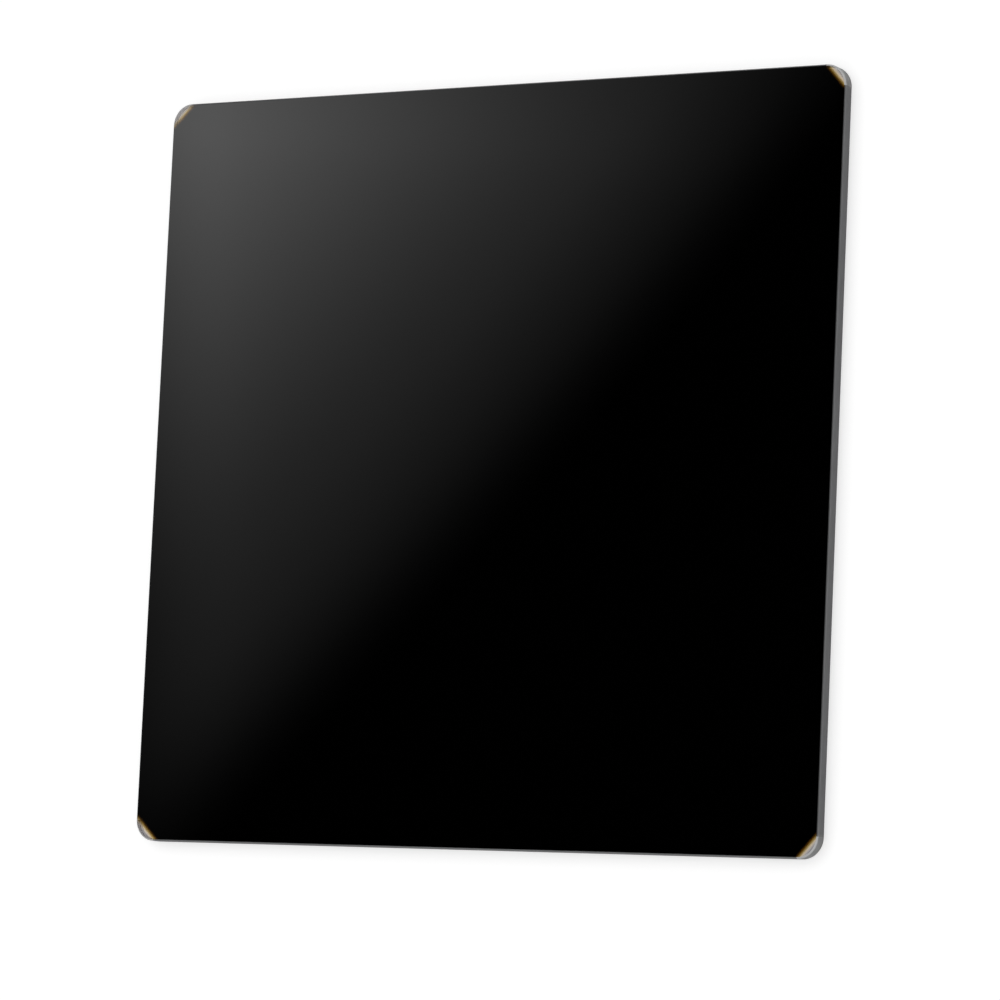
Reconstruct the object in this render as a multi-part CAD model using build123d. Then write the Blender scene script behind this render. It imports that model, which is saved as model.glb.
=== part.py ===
from build123d import *
from math import sqrt
import os

# Square neutral density filter for a slot-in holder. It is one plate of optical glass: a square
# ground to size, with rounded corners and a narrow ground flat along every sharp rim. The front
# face carries a black vacuum coating, which is far too thin to be a solid. It stops in a straight
# line across each corner, where a jig held the plate while it was coated, so the coated field and
# the four bare corners are faces of their own on the one solid.
# Millimetres. The plate lies on its back with the coated face up; the origin is at the centre of
# the back face, +Z points out of the coated face, and X and Y run along the sides.

# Driving dimensions
side = 100.0           # width and height, the format of the holders that it slides into
thickness = 2.0        # back face to front face, which is what a holder's slot takes
corner_radius = 2.8    # the rounded corners, seen from the front
arris = 0.2            # the 45 degree flat along each rim, measured along the face
bare_corner = 1.05     # clear glass at a corner, along its diagonal from the round to the coating

os.makedirs("parts", exist_ok=True)


def ground_blank():
    """The rounded square of glass, with the arris ground round both of its faces."""
    blank = extrude(RectangleRounded(side, side, corner_radius), amount=thickness)
    back_and_front = blank.faces().filter_by(Axis.Z)
    return chamfer(back_and_front.edges(), length=arris)


def corner_leg():
    """How far the coating's edge line starts from the square's sharp corner, along a side."""
    sharp_to_round = corner_radius * (sqrt(2) - 1)
    return (sharp_to_round + bare_corner) * sqrt(2)


def coating_edges():
    """An upright plane across each corner, at the line where the coating stops."""
    reach = (side - corner_leg()) / 2
    quarters = [(1, 1), (-1, 1), (-1, -1), (1, -1)]
    return [Plane((x * reach, y * reach, 0), z_dir=(x, y, 0)) for x, y in quarters]


def coated_plate():
    """The blank, with its front face divided into the coated field and the bare corners."""
    blank = ground_blank()
    front = blank.faces().sort_by(Axis.Z).last
    fields = [front]
    for edge in coating_edges():
        fields = [piece for field in fields for piece in field.split(edge, Keep.ALL)]
    ground_and_back = [face for face in blank.faces() if face != front]
    return Solid(Shell(ground_and_back + fields)), fields


glass_plate, fields = coated_plate()
glass_plate.label = "glass_plate"
export_step(glass_plate, "parts/glass_plate.step")

coated, *bare = sorted([field.area for field in fields], reverse=True)
print("coated field", round(coated, 1), "square millimetres, bare corners", len(bare))
print("glass", round(glass_plate.volume, 1), "cubic millimetres")
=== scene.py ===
# %% [markdown]
# A square neutral density filter, dressed for its picture.
#
# The real object is one plate of optical glass, 100 mm square and 2 mm thick. A photographer slides
# it in front of a lens to cut the light. Its front face carries a coating that is nearly black, its
# rim is ground to a satin grey, and its four corners stay clear. The measured solid is loaded
# first and fixes where everything is. What follows only gives it its finish and its light.

# %% Load the measured model
import math
import bmesh
import bpy
from mathutils import Matrix, Vector


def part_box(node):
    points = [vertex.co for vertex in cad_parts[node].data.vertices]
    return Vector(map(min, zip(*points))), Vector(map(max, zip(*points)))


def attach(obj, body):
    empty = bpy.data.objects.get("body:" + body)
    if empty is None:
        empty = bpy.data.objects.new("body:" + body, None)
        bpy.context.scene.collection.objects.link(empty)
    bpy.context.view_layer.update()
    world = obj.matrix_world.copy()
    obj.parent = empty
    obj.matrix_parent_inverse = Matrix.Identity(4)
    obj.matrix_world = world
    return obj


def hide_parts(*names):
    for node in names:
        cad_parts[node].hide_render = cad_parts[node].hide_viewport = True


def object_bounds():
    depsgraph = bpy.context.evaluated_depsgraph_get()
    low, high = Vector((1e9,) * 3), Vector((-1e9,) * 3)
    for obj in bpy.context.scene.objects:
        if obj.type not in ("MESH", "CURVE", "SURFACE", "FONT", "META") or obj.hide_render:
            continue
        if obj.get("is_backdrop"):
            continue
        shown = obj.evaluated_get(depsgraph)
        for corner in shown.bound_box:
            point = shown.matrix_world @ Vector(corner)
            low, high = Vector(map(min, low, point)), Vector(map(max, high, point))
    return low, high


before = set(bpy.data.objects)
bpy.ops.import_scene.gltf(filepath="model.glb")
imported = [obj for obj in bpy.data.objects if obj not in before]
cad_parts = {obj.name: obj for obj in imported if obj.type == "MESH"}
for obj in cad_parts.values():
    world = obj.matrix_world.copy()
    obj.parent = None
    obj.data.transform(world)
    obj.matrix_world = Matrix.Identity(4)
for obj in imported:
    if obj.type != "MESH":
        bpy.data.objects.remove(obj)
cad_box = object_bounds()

low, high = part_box("glass_plate")
side = high.x - low.x
thickness = high.z - low.z
print(f"the plate is {side * 1000:.1f} mm square and {thickness * 1000:.1f} mm thick")

# %% [markdown]
# The sizes below are the plate's own, in metres. The solid gives the two large ones. The small ones
# are the plate's rounded corners, the arris, which is the narrow 45 degree flat that a grinder puts
# on every rim so that the glass doesn't chip or cut, and the line where the coating ends. They
# could be read back from the solid's mesh, but a size with a name is easier to follow and to
# change. They stand here once, and every shape and finish below is worked out from them.

# %% Name the small sizes
mm = 0.001
corner_radius = 2.8 * mm
arris = 0.2 * mm
coat_leg = 2.99 * mm            # from the square's sharp corner to the coating's end, along a side
split_leg = 4.6 * mm            # the same for a line well inside the coating, where meshes part
corner_steps = 24               # flats that stand for one rounded corner
half = side / 2
print("flat of each ground edge:", round((thickness - 2 * arris) / mm, 2), "mm high")

# %% [markdown]
# Every pattern and every shape here is worked out by nodes, and nodes wired by hand are hard to
# read. So one small class stands for a socket. Sums on it add Math nodes, and its method `node`
# adds any other node: it sets the node's own settings first and then its inputs, by value or link.
# Two more methods add what is needed most, a random pattern and a blend of two colours. That way a
# finish reads like the formula that it is.

# %% A socket that can be used in sums
class Socket:
    """An output socket, or just a node tree to begin in, on which Python's sums add the nodes."""

    def __init__(self, tree, socket=None):
        self.tree = tree
        self.socket = socket

    def node(self, kind, settings=None, inputs=None, out=0):
        """A new node's output. A list of inputs links each of them, as for Join Geometry."""
        made = self.tree.nodes.new(kind)
        for name, value in (settings or {}).items():
            if name == "stops":
                self.set_stops(made.color_ramp, value)
            else:
                setattr(made, name, value)
        for name, value in (inputs or {}).items():
            for each in value if isinstance(value, list) else [value]:
                if isinstance(each, Socket):
                    self.tree.links.new(each.socket, made.inputs[name])
                else:
                    made.inputs[name].default_value = each
        return Socket(self.tree, made.outputs[out] if made.outputs else None)

    @staticmethod
    def set_stops(ramp, stops):
        """Gives a colour ramp its stops, as pairs of a place and a colour."""
        while len(ramp.elements) < len(stops):
            ramp.elements.new(1.0)
        for element, (place, colour) in zip(ramp.elements, stops):
            element.position = place
            element.color = (*colour, 1.0)

    def also(self, out):
        """Another output of the node that this one comes from."""
        return Socket(self.tree, self.socket.node.outputs[out])

    def maths(self, operation, *values, clamp=False):
        settings = {"operation": operation, "use_clamp": clamp}
        return self.node("ShaderNodeMath", settings, dict(enumerate(values)))

    def __add__(self, other): return self.maths("ADD", self, other)
    def __radd__(self, other): return self.maths("ADD", other, self)
    def __sub__(self, other): return self.maths("SUBTRACT", self, other)
    def __rsub__(self, other): return self.maths("SUBTRACT", other, self)
    def __mul__(self, other): return self.maths("MULTIPLY", self, other)
    def __rmul__(self, other): return self.maths("MULTIPLY", other, self)
    def __truediv__(self, other): return self.maths("DIVIDE", self, other)
    def __pow__(self, other): return self.maths("POWER", self, other)
    def __gt__(self, other): return self.maths("GREATER_THAN", self, other)
    def __lt__(self, other): return self.maths("LESS_THAN", self, other)
    def __abs__(self): return self.maths("ABSOLUTE", self)
    def sign(self): return self.maths("SIGN", self)
    def floor(self): return self.maths("FLOOR", self)
    def sin(self): return self.maths("SINE", self)
    def cos(self): return self.maths("COSINE", self)
    def at_least(self, other): return self.maths("MAXIMUM", self, other)
    def at_most(self, other): return self.maths("MINIMUM", self, other)

    def limited(self):
        """Kept between 0 and 1."""
        return self.maths("ADD", self, 0.0, clamp=True)

    def eased(self, start, end):
        """From 0 at start to 1 at end, leaving and arriving gently."""
        sockets = {"Value": self, "From Min": start, "From Max": end}
        return self.node("ShaderNodeMapRange", {"interpolation_type": "SMOOTHSTEP"}, sockets)

    def cloudy(self, scale, detail, fineness=0.5):
        """A soft random pattern from 0 to 1 over these places."""
        return self.node("ShaderNodeTexNoise", inputs={
            "Vector": self, "Scale": scale, "Detail": detail, "Roughness": fineness}, out="Fac")

    def blend(self, first, second, way="MIX"):
        """The first colour where this is 0, the second where it is 1."""
        settings = {"data_type": "RGBA", "blend_type": way}
        first_input, second_input, colour_output = 6, 7, 2      # the Mix node's ones for colours
        return self.node("ShaderNodeMix", settings, {
            "Factor": self, first_input: first, second_input: second}, colour_output)


print("besides sums, a Socket has:", [name for name in vars(Socket) if not name.startswith("_")])

# %% [markdown]
# The coating is laid on in a vacuum: metal and oxide in layers far thinner than a hair, on glass
# that was polished flat first. It takes nearly all the light that enters it, so its own colour is
# almost nothing, and what the eye sees is its surface, as smooth as glass. A glossy shader could be
# mixed with a black one by hand. One Principled shader with a near-black base and the index of
# glass does it better, because it mirrors more at a flat angle, as glass does. A very slow drift
# in the base and in the roughness keeps it from being one flat number, as the layers are never
# even to the last atom.

# %% The black coating
glass_index = 1.52
coat_colour_thin = (0.00013, 0.00013, 0.00014)
coat_colour_thick = (0.00005, 0.00005, 0.00005)
drift_scale = 28.0              # turns of the slow pattern in a metre
drift_detail, drift_fineness = 3.0, 0.45
coat_roughness = 0.012
coat_roughness_drift = 0.012


def new_material(name):
    """An empty material, and a Socket to begin its nodes from."""
    made = bpy.data.materials.new(name)
    made.use_nodes = True
    made.node_tree.nodes.clear()
    return made, Socket(made.node_tree)


def finish_material(begin, shader):
    begin.node("ShaderNodeOutputMaterial", inputs={"Surface": shader})


def place_on_plate(begin):
    return begin.node("ShaderNodeTexCoord", out="Object")


def coat_shader(begin):
    drift = place_on_plate(begin).cloudy(drift_scale, drift_detail, drift_fineness)
    return begin.node("ShaderNodeBsdfPrincipled", inputs={
        "Base Color": drift.blend((*coat_colour_thick, 1), (*coat_colour_thin, 1)),
        "Roughness": coat_roughness + drift * coat_roughness_drift, "IOR": glass_index})


black_coating, begin = new_material("black_coating")
finish_material(begin, coat_shader(begin))
print("nodes in black_coating:", len(black_coating.node_tree.nodes))

# %% [markdown]
# Pads on the plate's corners held it while it was coated, so the coating ends in a straight line
# across each corner. The line could be cut into the mesh as an edge, but the real one is soft. So a
# formula in the plate's own coordinates says how far a place is past it: |x| + |y| is the same all
# along such a line. The plate lay a little off the middle of its jig, the two right pads stood a
# few degrees askew, and the line wavers by less than a hair, so no two corners are quite alike.

# %% Where the coating ends
jig_offset = (0.20 * mm, 0.03 * mm)   # the plate lay this far off the middle of its jig
right_pads_turned = 0.06        # the slope of the two right pads' lines against 45 degrees
line_waver = 0.05 * mm          # how far the line wanders
waver_scale, waver_detail = 900.0, 2.0      # turns of its wandering in a metre


def past_coating(begin):
    """How far a place is past the coating's end, towards the nearest corner, and the place."""
    place = place_on_plate(begin)
    centred = begin.node("ShaderNodeMapping", inputs={
        "Vector": place, "Location": (-jig_offset[0], -jig_offset[1], 0)})
    x = begin.node("ShaderNodeSeparateXYZ", inputs={0: centred})
    y = x.also("Y")
    waver = place.cloudy(waver_scale, waver_detail)
    outwards = (abs(x) + abs(y) - (side - coat_leg)) / math.sqrt(2)
    sideways = (abs(x) - abs(y)) / math.sqrt(2)
    turned = sideways * (x > 0) * right_pads_turned
    return outwards + turned + (waver - 0.5) * line_waver, place


clear_depth = coat_leg / math.sqrt(2) - corner_radius * (math.sqrt(2) - 1)
print("clear glass along a corner's diagonal:", round(clear_depth / mm, 2), "mm")

# %% [markdown]
# Each pad's lip shaded the last millimetre of the coating. It thins out there, and a thin coating
# lets warm light through first: from the clear corner inwards the glass turns pale gold, orange
# brown and then black. Clear and black could be mixed by a mask, but halfway they only make grey.
# A glass shader with a tint that changes does as the real coating does, and colours whatever is
# seen through it. A ramp turns the distance into that tint. Towards the round, a grey is laid over
# that tint as painted shade, to darken the clear glass there, most of all at the two right corners.

# %% The coating's fading edge at the corners
fade_starts, fade_ends = -0.5 * mm, 0.5 * mm
fade_length = fade_ends - fade_starts
fade_tints = [                  # the light that one pass leaves, against the distance in mm
    (-0.50, (0.000, 0.000, 0.000)),
    (-0.38, (0.014, 0.006, 0.002)),
    (-0.20, (0.115, 0.048, 0.000)),
    (0.00, (0.420, 0.285, 0.078)),
    (0.18, (0.780, 0.630, 0.430)),
    (0.35, (0.800, 0.730, 0.660)),
    (0.50, (0.780, 0.745, 0.755)),
]
# Painted shade (the bloom below): a grey over the clear corners towards the round.
corner_shade_starts, corner_shade_ends = 0.10 * mm, 0.70 * mm
corner_shade_tint = (0.36, 0.36, 0.38)
corner_shade_at_left = 0.10            # as a share of the bloom at the right


def squared(colour):
    """A glass shader tints one pass by the root of its colour."""
    return tuple(part ** 2 for part in colour)


def glass_tint(begin):
    """The tint of the front of the glass: clear at the corners, black under the coating."""
    past, place = past_coating(begin)
    across = (past - fade_starts) / fade_length
    stops = [((distance * mm - fade_starts) / fade_length, squared(tint))
             for distance, tint in fade_tints]
    tint = begin.node("ShaderNodeValToRGB", {"stops": stops}, {"Fac": across}, out="Color")
    at_right = begin.node("ShaderNodeSeparateXYZ", inputs={0: place}) > 0
    # Painted shade: the grey darkens the corners towards the round, more at the right than the
    # left.
    corner_shade = past.eased(corner_shade_starts, corner_shade_ends) * (corner_shade_at_left + at_right * (1 - corner_shade_at_left))
    return corner_shade.blend(tint, (*squared(corner_shade_tint), 1), "MULTIPLY")


coated_corner, begin = new_material("coated_corner")
finish_material(begin, begin.node("ShaderNodeBsdfPrincipled", inputs={
    "Base Color": glass_tint(begin), "Roughness": 0.0, "IOR": glass_index,
    "Transmission Weight": 1.0}))
print("stops of the fade:", len(fade_tints), "over", round(fade_length / mm, 2), "mm")

# %% [markdown]
# The back is polished too, and bare, and through it the underside of the coating shows black. The
# camera doesn't see the back itself, but it looks through it at the corners, and whoever uses the
# part may turn it over. The mesh below is a closed body with real thickness, so a glass shader
# bends light where it enters and where it leaves, as the real plate does. Optical glass is very
# slightly green, and wiping leaves a haze, too faint to see except where it drifts.

# %% The clear back
back_tint = (0.96, 0.98, 0.97)
back_haze = 0.02                # the most roughness that wiping leaves
back_haze_scale, back_haze_detail = 60.0, 2.0


def clear_shader(begin):
    haze = place_on_plate(begin).cloudy(back_haze_scale, back_haze_detail)
    return begin.node("ShaderNodeBsdfPrincipled", inputs={
        "Base Color": (*back_tint, 1), "Roughness": haze * back_haze, "IOR": glass_index,
        "Transmission Weight": 1.0})


clear_glass, begin = new_material("clear_glass")
finish_material(begin, clear_shader(begin))
print("nodes in clear_glass:", len(clear_glass.node_tree.nodes))

# %% [markdown]
# The rim is ground, not polished. The wheel leaves a fine satin that scatters light: part of it
# comes straight back as grey, and the rest wanders through the glass. Rough glass would be the
# shader by the book, but under the black coating it finds little light: it makes a bright arris
# beside a dark flat, and the real rim is an even grey. A dull grey shader mixed with a translucent
# one is that: the dull part sends light back, and the translucent part shows the light on the rim's
# other side. Little comes through along the sides, and more towards the clear corners.
#
# Grinding runs along the edge, so the grain is drawn out that way: its pattern is stretched along
# the rim and squeezed through the thickness. Last, the upper arris is darkened as painted shade,
# though not towards the clear corners, and less along the bottom side.

# %% The ground rim
ground_grey, ground_blue = 0.205, 1.02      # ground glass is a touch bluer than grey
grain_depth = 0.4               # how far the grain lightens and darkens the grey
grain_along, grain_across = 260.0, 9000.0   # turns of the grain in a metre
grain_detail, grain_fineness = 3.0, 0.6
grain_height, grain_relief = 0.02 * mm, 0.5
ground_roughness, ground_roughness_grain = 0.5, 0.2
through_grey = 0.9
through_on_sides = 0.20         # how much of the rim's look is light from the other side of it
through_at_corners = 0.60
# The grey of the painted shade on the upper arris.
arris_shade_grey = 0.002
shelter_starts, shelter_ends = -0.2 * mm, 0.3 * mm
# How much less painted shade the bottom side's arris gets.
less_shade_at_bottom = 0.6


def grey(level):
    return (level, level, level * ground_blue, 1)


def arris_shade(place, sheltered):
    """How much painted shade darkens a place on the rim: the upper arris, away from the corners."""
    y = place.node("ShaderNodeSeparateXYZ", inputs={0: place}, out="Y")
    up_arris = ((y.also("Z") - (thickness - arris)) / arris).limited()
    at_bottom = y < -(half - 2 * arris)
    return up_arris * (1 - sheltered) * (1 - at_bottom * less_shade_at_bottom)


def grinding(place, level):
    """The grey of ground glass round a level, its roughness and its relief."""
    drawn_out = place.node("ShaderNodeMapping", inputs={
        "Vector": place, "Scale": (grain_along, grain_along, grain_across)})
    grain = drawn_out.cloudy(1.0, grain_detail, grain_fineness)
    relief = place.node("ShaderNodeBump", inputs={
        "Height": grain, "Strength": grain_relief, "Distance": grain_height})
    colour = grain.blend(grey(level * (1 - grain_depth)), grey(level * (1 + grain_depth)))
    return colour, ground_roughness + grain * ground_roughness_grain, relief


def ground_shader(begin):
    past, place = past_coating(begin)
    ground, roughness, bump = grinding(place, ground_grey)
    sheltered = past.eased(shelter_starts, shelter_ends)
    # Painted shade darkens the upper arris; coated is how much of it a place gets.
    coated = arris_shade(place, sheltered)
    dull = begin.node("ShaderNodeBsdfPrincipled", inputs={
        "Base Color": coated.blend(ground, grey(arris_shade_grey)), "Roughness": roughness,
        "IOR": glass_index, "Specular IOR Level": 0.0, "Normal": bump})
    through = begin.node("ShaderNodeBsdfTranslucent", inputs={
        "Color": grey(through_grey), "Normal": bump})
    more_at_corners = through_at_corners - through_on_sides
    share = (through_on_sides + sheltered * more_at_corners) * (1 - coated)
    return begin.node("ShaderNodeMixShader", inputs={0: share, 1: dull, 2: through})


ground_glass, begin = new_material("ground_glass")
finish_material(begin, ground_shader(begin))
print("nodes in ground_glass:", len(ground_glass.node_tree.nodes))

# %% [markdown]
# The rim's round corners are looked into through the clear glass above them, and other programs
# know no translucent shader, so after an export they would be dark. These short pieces of the rim
# are therefore rough glass after all, a little dulled. The clear corner is so close that a ray soon
# finds its way out, so that there is hardly any noise.

# %% The rim's round corners
corner_grey = 0.55
corner_glass = 0.88             # the share that is glass, the rest being dull


def round_corner_shader(begin):
    colour, roughness, bump = grinding(place_on_plate(begin), corner_grey)
    return begin.node("ShaderNodeBsdfPrincipled", inputs={
        "Base Color": colour, "Roughness": roughness, "IOR": glass_index,
        "Transmission Weight": corner_glass, "Normal": bump})


ground_corner, begin = new_material("ground_corner")
finish_material(begin, round_corner_shader(begin))
print("nodes in ground_corner:", len(ground_corner.node_tree.nodes))

# %% [markdown]
# The plate's shape follows a rule, so Geometry Nodes make it. A box with bevels would look alike,
# but here every size is a named input of one tree, and the coating's split line comes with it. A
# closed curve gets four times as many points as one corner needs, and a field places each by its
# number: which corner it belongs to, and how far round the quarter turn it is. Each corner begins
# and ends with a foot, a point on the straight side where the corner's patch of the front ends.
# Where numbers are compared below, a half between two of them tells them apart.

# %% Build the rule for the rim's points
plate_tree = bpy.data.node_groups.new("ground_plate", "GeometryNodeTree")
plate_tree.interface.new_socket("Geometry", in_out="OUTPUT", socket_type="NodeSocketGeometry")
plate_sizes = {
    "Side": side, "Thickness": thickness, "Corner Radius": corner_radius, "Arris": arris,
    "Split Leg": split_leg, "Corner Steps": corner_steps}
plate_finishes = {
    "Rim": ground_glass, "Round": ground_corner, "Back": clear_glass, "Corner": coated_corner,
    "Coating": black_coating}
plate_inputs = {}
for name, value in {**plate_sizes, **plate_finishes}.items():
    kind = {float: "Float", int: "Int"}.get(type(value), "Material")
    made = plate_tree.interface.new_socket(name, in_out="INPUT", socket_type="NodeSocket" + kind)
    plate_inputs[made.identifier] = value

begin = Socket(plate_tree)
group = begin.node("NodeGroupInput")
plate_side, plate_thick, plate_radius, plate_arris, plate_split, plate_steps = [
    group.also(name) for name in plate_sizes]
corner_points = plate_steps + 3     # the ends of the steps, and a foot before and after them
index = begin.node("GeometryNodeInputIndex")
quarter = math.pi / 2


def rim_place(drawn_in):
    """Where point number index of the rim goes: foot, rounded corner, foot, and so on round."""
    corner = (index / corner_points).floor()
    number = index - corner * corner_points
    turned = ((number - 1) / plate_steps).limited()
    angle = (corner + turned) * quarter
    past_end = (number - (corner_points - 2)).limited() - (1 - number).limited()
    foot = past_end * (plate_split - plate_radius)
    radius = plate_radius - drawn_in
    centre = (plate_side / 2 - plate_radius) * math.sqrt(2)
    bearing = (corner + 0.5) * quarter
    x = centre * bearing.cos() + radius * angle.cos() - foot * angle.sin()
    y = centre * bearing.sin() + radius * angle.sin() + foot * angle.cos()
    return begin.node("ShaderNodeCombineXYZ", inputs={"X": x, "Y": y}), number


def rim_curve(points, drawn_in):
    """A closed curve of that many of the rim's points, and the number that each has."""
    place, number = rim_place(drawn_in)
    ring = begin.node("GeometryNodeCurvePrimitiveCircle", inputs={"Resolution": points})
    return begin.node("GeometryNodeSetPosition", inputs={
        "Geometry": ring, "Position": place}), number


print("points round the rim:", 4 * (corner_steps + 3))

# %% [markdown]
# In section the ground edge is arris, flat and arris: a line of four points. Sweeping it round the
# rim's curve makes every ground face at once, and they meet exactly. Both faces are the same curve,
# drawn in by the arris and filled. The front is made of the coated field and four corner patches,
# because only the patches need the glass shader, and the four are one patch, turned.

# %% Sweep the rim and fill the faces
def filled(curve, height):
    """The flat face inside a closed curve, with many sides, at a height."""
    face = begin.node("GeometryNodeFillCurve", {"mode": "NGONS"}, {"Curve": curve})
    up = begin.node("ShaderNodeCombineXYZ", inputs={"Z": height})
    return begin.node("GeometryNodeTransform", inputs={"Geometry": face, "Translation": up})


def rim_section():
    """The ground edge in section, from the front's rim to the back's: arris, flat, arris.

    The sweep lays a section's X outwards and its Y downwards."""
    line = begin.node("GeometryNodeCurvePrimitiveLine")
    points = begin.node("GeometryNodeResampleCurve", inputs={"Curve": line, "Count": 4})
    at_ends = (index < 0.5) + (index > 2.5)
    depth = ((index > 0.5) + (index > 2.5)) * plate_arris
    depth = depth + (index > 1.5) * (plate_thick - 2 * plate_arris)
    place = begin.node("ShaderNodeCombineXYZ", inputs={
        "X": 0 - at_ends * plate_arris, "Y": depth - plate_thick})
    return begin.node("GeometryNodeSetPosition", inputs={"Geometry": points, "Position": place})


def front_face():
    """The coated field, and one corner patch turned to all four corners."""
    rim, number = rim_curve(corner_points * 4, plate_arris)
    between = (number > 0.5) * (number < corner_points - 1.5)
    feet = begin.node("GeometryNodeDeleteGeometry", inputs={"Geometry": rim, "Selection": between})
    corner, _ = rim_curve(corner_points, plate_arris)
    turns = begin.node("GeometryNodePoints", inputs={"Count": 4})
    turn = begin.node("ShaderNodeCombineXYZ", inputs={"Z": index * quarter})
    corners = begin.node("GeometryNodeInstanceOnPoints", inputs={
        "Points": turns, "Instance": filled(corner, plate_thick), "Rotation": turn})
    return [filled(feet, plate_thick), corners]


outer, _ = rim_curve(corner_points * 4, 0.0)
inner, _ = rim_curve(corner_points * 4, plate_arris)
edge = begin.node("GeometryNodeCurveToMesh", inputs={
    "Curve": outer, "Profile Curve": rim_section()})
back = begin.node("GeometryNodeFlipFaces", inputs={"Mesh": filled(inner, 0.0)})
parts = [edge, back, *front_face()]
print("parts to join:", len(parts), "and nodes so far:", len(plate_tree.nodes))

# %% [markdown]
# The parts meet point on point, so merging the points that coincide closes the body. Real ground
# corners are round and real arrises are crisp, so the whole is shaded smooth except at its sharp
# edges. Each part starts in the rim's finish, because a part that has none would leave an empty
# slot on the mesh.

# %% Close the body
weld_distance = 0.005 * mm
crisp_angle = math.radians(20)


def in_finish(geometry, name, selection=True):
    return begin.node("GeometryNodeSetMaterial", inputs={
        "Geometry": geometry, "Selection": selection, "Material": group.also(name)})


joined = begin.node("GeometryNodeJoinGeometry", inputs={
    "Geometry": [in_finish(part, "Rim") for part in parts]})
solid = begin.node("GeometryNodeRealizeInstances", inputs={"Geometry": joined})
solid = begin.node("GeometryNodeMergeByDistance", inputs={
    "Geometry": solid, "Distance": weld_distance})
bend = begin.node("GeometryNodeInputMeshEdgeAngle")
solid = begin.node("GeometryNodeSetShadeSmooth", {"domain": "FACE"}, {
    "Geometry": solid, "Shade Smooth": True})
solid = begin.node("GeometryNodeSetShadeSmooth", {"domain": "EDGE"}, {
    "Geometry": solid, "Selection": bend > crisp_angle, "Shade Smooth": False})
print("edges stay crisp over", round(math.degrees(crisp_angle)), "degrees")

# %% [markdown]
# Other programs can't run these shaders, so on export the finishes are baked into pictures, and a
# map says where on a picture each face lies. An unwrap made by Blender would give the plain back as
# much room as the front, and cut the front up. The plate is flat, so a better map is easy to write
# down: the front takes most of the square in one piece, so that the fading corners bake sharp,
# the rim's four sides lie as strips above it, and the back has a small square of its own.

# %% Lay the faces out on a map for baking
map_name = "OFBake"             # the exporter keeps a map of this name
front_room, back_room = 0.78, 0.2   # widths of the front and the back, as shares of the map's
strips_from = 0.79
strip_apart, strip_high = 0.0525, 0.048
mostly = 0.9                    # a face whose normal leans this much up or down looks that way

facing = begin.node("GeometryNodeFieldOnDomain", {
    "domain": "FACE", "data_type": "FLOAT_VECTOR"}, {
    "Value": begin.node("GeometryNodeInputNormal")})
facing_x = begin.node("ShaderNodeSeparateXYZ", inputs={0: facing})
facing_y, facing_z = facing_x.also("Y"), facing_x.also("Z")
spot_x = begin.node("ShaderNodeSeparateXYZ", inputs={0: begin.node("GeometryNodeInputPosition")})
spot_y, spot_z = spot_x.also("Y"), spot_x.also("Z")
on_front, on_back = facing_z > mostly, facing_z < -mostly


def flat_map():
    """Where each corner of a face lies on the map, by which way the face looks."""
    across, up, deep = spot_x / plate_side, spot_y / plate_side, spot_z / plate_thick
    to_x = abs(facing_x) > abs(facing_y)
    sideways = to_x * facing_x + (1 - to_x) * facing_y
    along = (to_x * up - (1 - to_x) * across) * sideways.sign() + 0.5
    number = to_x * 2 + (sideways > 0)      # of the four strips, one for each side
    strip = strips_from + number * strip_apart + deep * strip_high
    u = (across + 0.5) * on_front * front_room + (1 - (across + 0.5) * back_room) * on_back
    v = (up + 0.5) * (on_front * front_room + on_back * back_room)
    on_rim = 1 - on_front - on_back
    return begin.node("ShaderNodeCombineXYZ", inputs={
        "X": u + along * on_rim, "Y": v + strip * on_rim})


solid = begin.node("GeometryNodeStoreNamedAttribute", {
    "data_type": "FLOAT2", "domain": "CORNER"}, {
    "Geometry": solid, "Name": map_name, "Value": flat_map()})
print("the front's width on a picture of 1024 pixels:", round(1024 * front_room))

# %% [markdown]
# The finishes go on last, by which way a face looks and by how far it is from the middle: the rim's
# round corners are the farthest. Faces could be picked by their numbers instead, but those change
# with every size.

# %% Give each face its finish
corner_reach = 1.05             # in radii, so that the arris, which is drawn in, is taken in too
distance = abs(spot_x) + abs(spot_y)
central = distance < plate_side / 2
rounded = distance > plate_side - plate_radius * corner_reach
solid = in_finish(solid, "Round", rounded)
solid = in_finish(solid, "Back", on_back)
solid = in_finish(solid, "Corner", on_front)
solid = in_finish(solid, "Coating", on_front * central)
begin.node("NodeGroupOutput", inputs={"Geometry": solid})
print("nodes in the plate's tree:", len(plate_tree.nodes))

# %% [markdown]
# The tree is run once and its result kept as a plain mesh, which needs no modifier to be seen,
# moved or exported. It then stands in for the measured solid. A closed body has no edge with only
# one face, and its volume should be the solid's own, so both are measured.

# %% Make the plate
def run_tree(name, tree, inputs):
    """A plain mesh object, made by running a tree on an empty one."""
    empty = bpy.data.meshes.new("empty")
    made = bpy.data.objects.new(name, empty)
    bpy.context.scene.collection.objects.link(made)
    modifier = made.modifiers.new(name, "NODES")
    modifier.node_group = tree
    for identifier, value in inputs.items():
        modifier[identifier] = value
    graph = bpy.context.evaluated_depsgraph_get()
    mesh = bpy.data.meshes.new_from_object(made.evaluated_get(graph))
    made.modifiers.clear()
    made.data = mesh
    bpy.data.meshes.remove(empty)
    mesh.name = name
    return made


def body_facts(mesh):
    """The volume that a mesh encloses, and how many of its edges don't join two faces."""
    shape = bmesh.new()
    shape.from_mesh(mesh)
    volume = shape.calc_volume(signed=True)
    loose = sum(len(edge.link_faces) != 2 for edge in shape.edges)
    shape.free()
    return volume, loose


plate = run_tree("coated_glass_plate", plate_tree, plate_inputs)
volume, loose = body_facts(plate.data)
print(f"{len(plate.data.polygons)} faces, {loose} open edges, {volume / mm ** 3:.1f} cubic mm")
print("finishes:", [finish.name for finish in plate.data.materials])
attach(plate, "root")
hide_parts("glass_plate")

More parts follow.
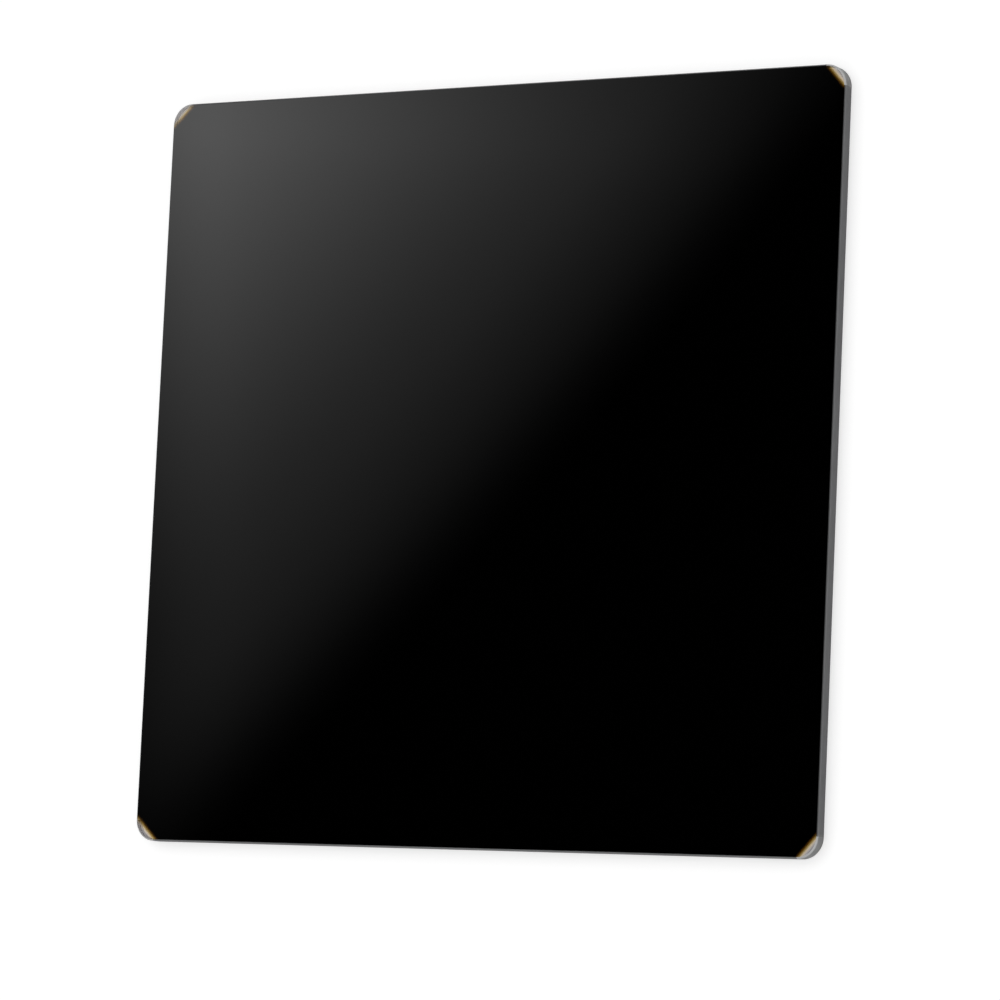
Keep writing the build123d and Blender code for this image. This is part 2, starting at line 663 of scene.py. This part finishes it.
# %% [markdown]
# The plate lies on a plain pale floor. Under even light a matt floor never renders quite white, so
# it also shines a little, but only for rays that look at it from the camera or through glass. No
# light from that reaches the plate, and the plate's own soft shadow stays. More lamps would whiten
# the floor too, but they would wash out the plate. The floor is seen through from below, so that
# the plate's back can be looked at, and mirrored rays pass it: else the back would mirror nothing
# but the floor right under it, flat and grey.

# %% The floor
floor_drop = 0.05 * mm          # keeps the plate's back clear of the floor
floor_half = 6.0
floor_grey = 0.50
floor_lift = 0.56


def ray_is(begin, *kinds):
    """1 for a ray of any of these kinds."""
    path = begin.node("ShaderNodeLightPath")
    total = path.also(kinds[0])
    for kind in kinds[1:]:
        total = total.at_least(path.also(kind))
    return total


def sent_by_mirror(begin):
    """1 for a ray that was only mirrored. One that came through glass counts as glossy too."""
    return ray_is(begin, "Is Glossy Ray") * (1 - ray_is(begin, "Is Transmission Ray"))


pale_floor, begin = new_material("pale_floor")
seen = ray_is(begin, "Is Camera Ray", "Is Transmission Ray")
matt = begin.node("ShaderNodeBsdfDiffuse", inputs={
    "Color": (floor_grey, floor_grey, floor_grey, 1)})
lift = begin.node("ShaderNodeEmission", inputs={"Strength": seen * floor_lift})
lit = begin.node("ShaderNodeAddShader", inputs={0: matt, 1: lift})
from_below = begin.node("ShaderNodeNewGeometry", out="Backfacing")
passed = from_below.at_least(sent_by_mirror(begin))
finish_material(begin, begin.node("ShaderNodeMixShader", inputs={
    0: passed, 1: lit, 2: begin.node("ShaderNodeBsdfTransparent")}))

floor_mesh = bpy.data.meshes.new("floor")
floor_corners = [(-1, -1), (1, -1), (1, 1), (-1, 1)]
floor_mesh.from_pydata(
    [(x * floor_half, y * floor_half, low.z - floor_drop) for x, y in floor_corners],
    [], [(0, 1, 2, 3)])
floor_mesh.materials.append(pale_floor)
floor = bpy.data.objects.new("floor", floor_mesh)
bpy.context.scene.collection.objects.link(floor)
floor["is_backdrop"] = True
print("floor at", round(floor_mesh.vertices[0].co.z / mm, 2), "mm")

# %% [markdown]
# Black glass shows nothing but what it mirrors, so its picture is made by what hangs round it. A
# studio would hide the ceiling with black cloth and hang a large soft box towards each corner of
# the table. A box's cloth glows, most of all near its lamp, and its near edge is feathered, so that
# its light fades out across the glass. Area lamps could do that, but their edges are hard. So the
# world does it: for mirrored rays it is a picture of that room, worked out from the ray's direction
# alone. How far a ray leans towards a bearing says on which side of a box's edge it ends.

# %% The soft boxes that the glass mirrors
near_bearing = math.radians(37.25)  # from the X axis, at right angles to a box's near edge
near_begins, near_ends = 0.4389, 0.4750
cloth_level = 0.278             # 1 being white
bulb_bearing = math.radians(41.14)
bulb_begins, bulb_scale = 0.4486, 0.1       # where the lamp's glow begins, and a length of it
bulb_level, bulb_power = 3.28, 1.818        # the glow at that length, and how steeply it grows
box_brightest = 2.2             # the cloth right at its lamp
side_begins, side_ends = 0.5248, 0.5593     # the box's end along X
rear_begins, rear_ends = 0.1809, 0.2079     # a seam in the cloth, past which it is dimmer
rear_dims = 0.35
box_foot, box_body = 0.60, 0.80     # heights of a ray, 1 being straight up


def leaning(across, along, bearing):
    """How far a ray of length one leans towards a bearing."""
    return across * math.cos(bearing) + along * math.sin(bearing)


def soft_box(across, along, up):
    """How bright the nearest soft box is, for a ray turned into the first quarter."""
    bulb = (leaning(across, along, bulb_bearing) - bulb_begins).at_least(0.0) / bulb_scale
    cloth = (cloth_level + bulb ** bulb_power * bulb_level).at_most(box_brightest)
    past_near = leaning(across, along, near_bearing).eased(near_begins, near_ends)
    within_side = 1 - across.eased(side_begins, side_ends)
    past_seam = 1 - along.eased(rear_begins, rear_ends) * rear_dims
    return cloth * past_near * within_side * past_seam * up.eased(box_foot, box_body)


print("a soft box begins", round(math.degrees(math.asin(near_begins)), 1), "degrees from overhead")

# %% [markdown]
# Seen from lower down, the glass mirrors the walls, and from the top the black cloth right
# overhead. Both could stay black, but then the plate would look like a hole from there. So tall
# strips of light stand along the walls, slanting a little, and broader ones lie on the black cloth.
# Each set is a sine wave, soft at every edge, so from every side the glass mirrors a fade.

# %% The strips that the glass mirrors
strips_level = 0.7
strips_foot = 0.15              # their share of that level right down at the floor
strips_fade, strips_end = 0.55, 0.80        # heights of a ray, as for the boxes
strips_count = 20               # round the whole room
strips_slant = 12.0             # how far, in radians of a strip, they are moved on by their top
strips_turned = 0.28
above_level = 0.7
above_apart = 0.29              # from one strip overhead to the next, as a ray leans
above_foot, above_body = 0.955, 0.985


def strip_wave(turned):
    """Strips of light with soft edges: 1 in the middle of one, 0 between two."""
    return (turned.sin() + 1) / 2


def mirrored_room(begin):
    """How bright the room is in a ray's direction."""
    ray = begin.node("ShaderNodeTexCoord", out="Generated")
    ray_x = begin.node("ShaderNodeSeparateXYZ", inputs={0: ray})
    ray_y = ray_x.also("Y")
    up = abs(ray_x.also("Z"))
    bearing = begin.maths("ARCTAN2", ray_y, ray_x)
    strips = strip_wave(bearing * strips_count + up * strips_slant + strips_turned)
    rising = strips_foot + up.eased(0.0, strips_fade) * (1 - strips_foot)
    strips = strips * rising * (1 - up.eased(strips_fade, strips_end)) * strips_level
    above = leaning(0 - ray_x, ray_y, near_bearing) * (2 * math.pi / above_apart)
    above = strip_wave(above) * up.eased(above_foot, above_body) * above_level
    return soft_box(abs(ray_x), abs(ray_y), up).at_least(strips).at_least(above)


print("strips of light stand", 360 / strips_count, "degrees apart along the walls")

# %% [markdown]
# The world is white to the camera and through glass, the room to a mirror, and an even light to
# everything matt. One broad lamp, like a window with a blind, comes from the left and gives the
# ground edges a lighter and a darker side. Its mirror image is switched off, because the soft boxes
# have its place in the glass.

# %% The studio's light
even_light = 0.85
lamp_level = 0.55
lamp_breadth = math.radians(50)
lamp_towards = Vector((-0.5, 0.5, 1.0))

world = bpy.data.worlds.new("studio")
bpy.context.scene.world = world
world.use_nodes = True
world.node_tree.nodes.clear()
begin = Socket(world.node_tree)
white = ray_is(begin, "Is Camera Ray", "Is Transmission Ray")
mirrored = sent_by_mirror(begin)
level = white + mirrored * mirrored_room(begin) + (1 - white) * (1 - mirrored) * even_light
background = begin.node("ShaderNodeBackground", inputs={"Color": (1, 1, 1, 1), "Strength": level})
begin.node("ShaderNodeOutputWorld", inputs={"Surface": background})

lamp = bpy.data.lights.new("soft_key", "SUN")
lamp.energy = lamp_level
lamp.angle = lamp_breadth
lamp_object = bpy.data.objects.new("soft_key", lamp)
lamp_object.rotation_euler = lamp_towards.to_track_quat("Z", "Y").to_euler()
lamp_object.visible_glossy = False
bpy.context.scene.collection.objects.link(lamp_object)
print("level on the floor about", round(even_light + lamp_level / math.pi, 2))

# %% [markdown]
# The camera's place was worked out from the photograph: the four straight sides of the front face,
# and their vanishing points, allow one camera only. It looks down on the plate from the right, from
# 0.6 m away through a long lens, leaning a little to one side. It could be turned by three angles,
# but a place, a point to look at and that lean are easier to read.

# %% The camera
camera_place = Vector((0.28425, -0.06860, 0.51569 + thickness))
camera_aim = Vector((0.00323, -0.00479, thickness))
camera_lean = math.radians(2.587)
camera_lens = 164.45
sensor_width = 36.0
nearest_seen, farthest_seen = 0.01, 100.0

backwards = (camera_place - camera_aim).normalized()
rightwards = Vector((0, 1, 0)).cross(backwards).normalized()
upwards = backwards.cross(rightwards)
upright = Matrix((rightwards, upwards, backwards)).transposed().to_4x4()
camera_data = bpy.data.cameras.new("camera")
camera_data.lens = camera_lens
camera_data.sensor_width = sensor_width
camera_data.clip_start, camera_data.clip_end = nearest_seen, farthest_seen
camera = bpy.data.objects.new("camera", camera_data)
camera.matrix_world = (
    Matrix.Translation(camera_place) @ upright @ Matrix.Rotation(camera_lean, 4, "Z"))
bpy.context.scene.collection.objects.link(camera)
bpy.context.scene.camera = camera
print("camera", round((camera_place - camera_aim).length, 3), "m from the plate")

# %% [markdown]
# The picture is shown as it is rendered, with no film look laid over it, so that a colour comes
# out as it is written. The last lines compare the box of the measured solid with that of the
# dressed plate, and print how far apart their corners are.

# %% Finish
bpy.context.scene.view_settings.view_transform = "Standard"
boxes = {"cad": cad_box, "visual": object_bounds()}
apart = max((a - b).length for a, b in zip(*boxes.values()))
print(f"corners of the two boxes are at most {apart / mm:.3f} mm apart")
